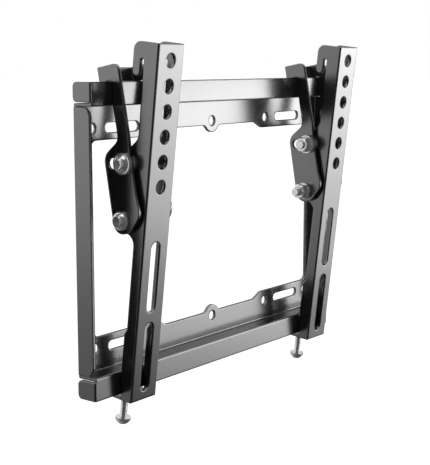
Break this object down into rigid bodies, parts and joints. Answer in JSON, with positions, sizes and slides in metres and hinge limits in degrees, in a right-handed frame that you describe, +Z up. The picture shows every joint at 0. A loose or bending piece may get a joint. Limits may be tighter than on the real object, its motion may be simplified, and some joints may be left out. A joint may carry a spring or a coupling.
{
  "type": "tilting tv wall mount",
  "caption": "Low tilting wall mount for a screen: folded steel wall plate with rails, hooked drilled arms, clamp and pivot bolts and safety screws.",
  "frame": {"origin": "centre of the wall plate's hole pattern, on the wall's surface", "axes": "+X along the rails to the right as seen from the front, +Y into the wall, +Z up"},
  "size_m": [0.263, 0.0483, 0.24],
  "materials": {
    "black_coated_steel": "black powder coat, satin with soft reflections",
    "zinc_plated_steel": "bright zinc plating"
  },
  "bodies": {
    "wall_plate": {"wall_plate": "black_coated_steel"},
    "left_hook": {"left_hook": "black_coated_steel"},
    "left_arm": {"left_arm": "black_coated_steel", "left_clamp_bolt": "zinc_plated_steel", "left_clamp_nut": "zinc_plated_steel", "left_clamp_head_washer": "zinc_plated_steel", "left_clamp_nut_washer": "zinc_plated_steel", "left_clamp_spacers": "zinc_plated_steel", "left_pivot_bolt": "zinc_plated_steel", "left_pivot_nut": "zinc_plated_steel", "left_pivot_head_washer": "zinc_plated_steel", "left_pivot_nut_washer": "zinc_plated_steel", "left_pivot_spacers": "zinc_plated_steel"},
    "left_safety_screw": {"left_safety_screw": "zinc_plated_steel"},
    "right_hook": {"right_hook": "black_coated_steel"},
    "right_arm": {"right_arm": "black_coated_steel", "right_clamp_bolt": "zinc_plated_steel", "right_clamp_nut": "zinc_plated_steel", "right_clamp_head_washer": "zinc_plated_steel", "right_clamp_nut_washer": "zinc_plated_steel", "right_clamp_spacers": "zinc_plated_steel", "right_pivot_bolt": "zinc_plated_steel", "right_pivot_nut": "zinc_plated_steel", "right_pivot_head_washer": "zinc_plated_steel", "right_pivot_nut_washer": "zinc_plated_steel", "right_pivot_spacers": "zinc_plated_steel"},
    "right_safety_screw": {"right_safety_screw": "zinc_plated_steel"}
  },
  "joints": [
    {"name": "left_hook_rock", "type": "hinge", "parent": "wall_plate", "child": "left_hook", "pos_m": [-0.0975, -0.0149, 0.0844], "axis": [1, 0, 0], "range_deg": [0, 7.75]},
    {"name": "left_arm_tilt", "type": "hinge", "parent": "left_hook", "child": "left_arm", "pos_m": [-0.0975, -0.0207, 0.0133], "axis": [1, 0, 0], "range_deg": [-13.2, 0]},
    {"name": "left_safety_screw_travel", "type": "slide", "parent": "left_arm", "child": "left_safety_screw", "axis": [0, -0.1132, 0.9936], "range_m": [0, 0.01]},
    {"name": "right_hook_rock", "type": "hinge", "parent": "wall_plate", "child": "right_hook", "pos_m": [0.1025, -0.0149, 0.0844], "axis": [1, 0, 0], "range_deg": [0, 7.75]},
    {"name": "right_arm_tilt", "type": "hinge", "parent": "right_hook", "child": "right_arm", "pos_m": [0.1025, -0.0207, 0.0133], "axis": [1, 0, 0], "range_deg": [-13.2, 0]},
    {"name": "right_safety_screw_travel", "type": "slide", "parent": "right_arm", "child": "right_safety_screw", "axis": [0, -0.1132, 0.9936], "range_m": [0, 0.01]}
  ],
  "couplings": [
    {"joint": "left_hook_rock", "follows": "left_arm_tilt", "ratio": -0.5868},
    {"joint": "right_hook_rock", "follows": "right_arm_tilt", "ratio": -0.5868}
  ]
}
